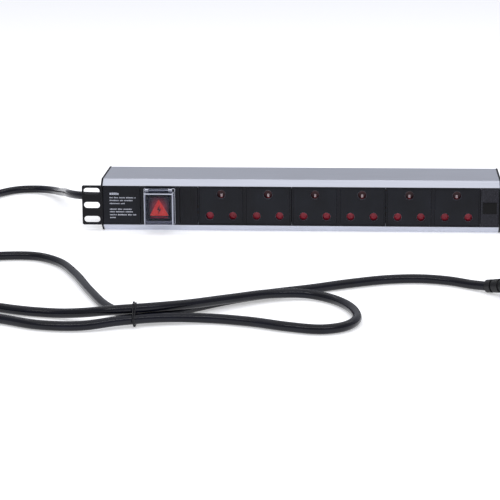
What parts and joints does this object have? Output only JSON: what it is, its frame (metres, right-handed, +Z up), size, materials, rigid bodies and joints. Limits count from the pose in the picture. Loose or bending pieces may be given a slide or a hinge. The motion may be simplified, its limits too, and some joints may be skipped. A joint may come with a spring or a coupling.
{
  "type": "rack power strip",
  "caption": "Aluminium rack-mount power strip with shuttered round-pin sockets, a lit rocker switch under a hinged clear cover, end rack ears and a tied mains lead with its plug.",
  "frame": {"origin": "middle of the underside of the strip's housing", "axes": "+X along the strip, to the right as seen from the sockets; -Y out of the sockets; +Z up"},
  "size_m": [0.6968, 0.5956, 0.0586],
  "materials": {
    "anodised_aluminium": "satin anodised extrusion, silver with a faint lavender cast",
    "coated_steel": "fine textured black powder coat",
    "zinc_screws": "bright zinc plate",
    "black_abs": "satin moulded",
    "red_shutter": "moulded, half gloss",
    "spring_steel": "drawn wire",
    "ivory_urea": "moulded",
    "brass": "stamped strip",
    "red_rocker": "translucent, lit from behind when on",
    "lamp_glass": "clear",
    "clear_polycarbonate": "clear, polished",
    "black_nylon": "moulded",
    "live_pvc": "extruded",
    "neutral_pvc": "extruded",
    "earth_pvc": "extruded",
    "cord_pvc": "soft extruded jacket, half matte",
    "tie_pvc": "thin coated wire",
    "plug_pvc": "moulded, half matte",
    "plated_brass": "nickel flashed"
  },
  "bodies": {
    "strip": {"housing": "anodised_aluminium", "left_end_bracket": "coated_steel", "right_end_bracket": "coated_steel", "left_end_screw_1": "zinc_screws", "left_end_screw_2": "zinc_screws", "right_end_screw_1": "zinc_screws", "right_end_screw_2": "zinc_screws", "label_panel": "black_abs", "switch_panel": "black_abs", "spacer_panel": "black_abs", "end_panel": "black_abs", "badge_plate": "black_abs", "socket_frame_1": "black_abs", "socket_frame_2": "black_abs", "socket_frame_3": "black_abs", "socket_face_1": "black_abs", "socket_face_2": "black_abs", "socket_face_3": "black_abs", "socket_face_4": "black_abs", "socket_face_5": "black_abs", "socket_face_6": "black_abs", "shutter_spring_1": "spring_steel", "shutter_spring_2": "spring_steel", "shutter_spring_3": "spring_steel", "shutter_spring_4": "spring_steel", "shutter_spring_5": "spring_steel", "shutter_spring_6": "spring_steel", "socket_base_1": "ivory_urea", "socket_base_2": "ivory_urea", "socket_base_3": "ivory_urea", "earth_bar": "brass", "live_bar": "brass", "neutral_bar": "brass", "switch_tab": "brass", "switch_body": "black_abs", "indicator_lamp": "lamp_glass", "cover_frame": "clear_polycarbonate", "cover_hinge_pin": "zinc_screws", "cable_gland": "black_nylon", "gland_dome_nut": "black_nylon", "gland_lock_nut": "black_nylon", "terminal_block": "ivory_urea", "live_wire": "live_pvc", "neutral_wire": "neutral_pvc", "earth_wire": "earth_pvc", "power_cord": "cord_pvc", "twist_tie": "tie_pvc", "plug_body": "plug_pvc", "plug_strain_relief": "plug_pvc", "plug_live_pin": "plated_brass", "plug_neutral_pin": "plated_brass", "plug_earth_pin": "plated_brass"},
    "shutter_1": {"shutter_1": "red_shutter"},
    "shutter_2": {"shutter_2": "red_shutter"},
    "shutter_3": {"shutter_3": "red_shutter"},
    "shutter_4": {"shutter_4": "red_shutter"},
    "shutter_5": {"shutter_5": "red_shutter"},
    "shutter_6": {"shutter_6": "red_shutter"},
    "rocker": {"rocker": "red_rocker"},
    "switch_cover": {"switch_cover": "clear_polycarbonate"}
  },
  "joints": [
    {"name": "shutter_1_slide", "type": "slide", "parent": "strip", "child": "shutter_1", "axis": [0, 0, -1], "range_m": [0, 0.009], "stiffness_N_per_m": 60, "springref_m": -0.004, "deforming": ["shutter_spring_1"]},
    {"name": "shutter_2_slide", "type": "slide", "parent": "strip", "child": "shutter_2", "axis": [0, 0, -1], "range_m": [0, 0.009], "stiffness_N_per_m": 60, "springref_m": -0.004, "deforming": ["shutter_spring_2"]},
    {"name": "shutter_3_slide", "type": "slide", "parent": "strip", "child": "shutter_3", "axis": [0, 0, -1], "range_m": [0, 0.009], "stiffness_N_per_m": 60, "springref_m": -0.004, "deforming": ["shutter_spring_3"]},
    {"name": "shutter_4_slide", "type": "slide", "parent": "strip", "child": "shutter_4", "axis": [0, 0, -1], "range_m": [0, 0.009], "stiffness_N_per_m": 60, "springref_m": -0.004, "deforming": ["shutter_spring_4"]},
    {"name": "shutter_5_slide", "type": "slide", "parent": "strip", "child": "shutter_5", "axis": [0, 0, -1], "range_m": [0, 0.009], "stiffness_N_per_m": 60, "springref_m": -0.004, "deforming": ["shutter_spring_5"]},
    {"name": "shutter_6_slide", "type": "slide", "parent": "strip", "child": "shutter_6", "axis": [0, 0, -1], "range_m": [0, 0.009], "stiffness_N_per_m": 60, "springref_m": -0.004, "deforming": ["shutter_spring_6"]},
    {"name": "rocker_hinge", "type": "hinge", "parent": "strip", "child": "rocker", "pos_m": [-0.1556, -0.033, 0.029], "axis": [-1, 0, 0], "range_deg": [0, 24]},
    {"name": "switch_cover_hinge", "type": "hinge", "parent": "strip", "child": "switch_cover", "pos_m": [-0.1556, -0.0427, 0.048], "axis": [-1, 0, 0], "range_deg": [0, 105]}
  ]
}
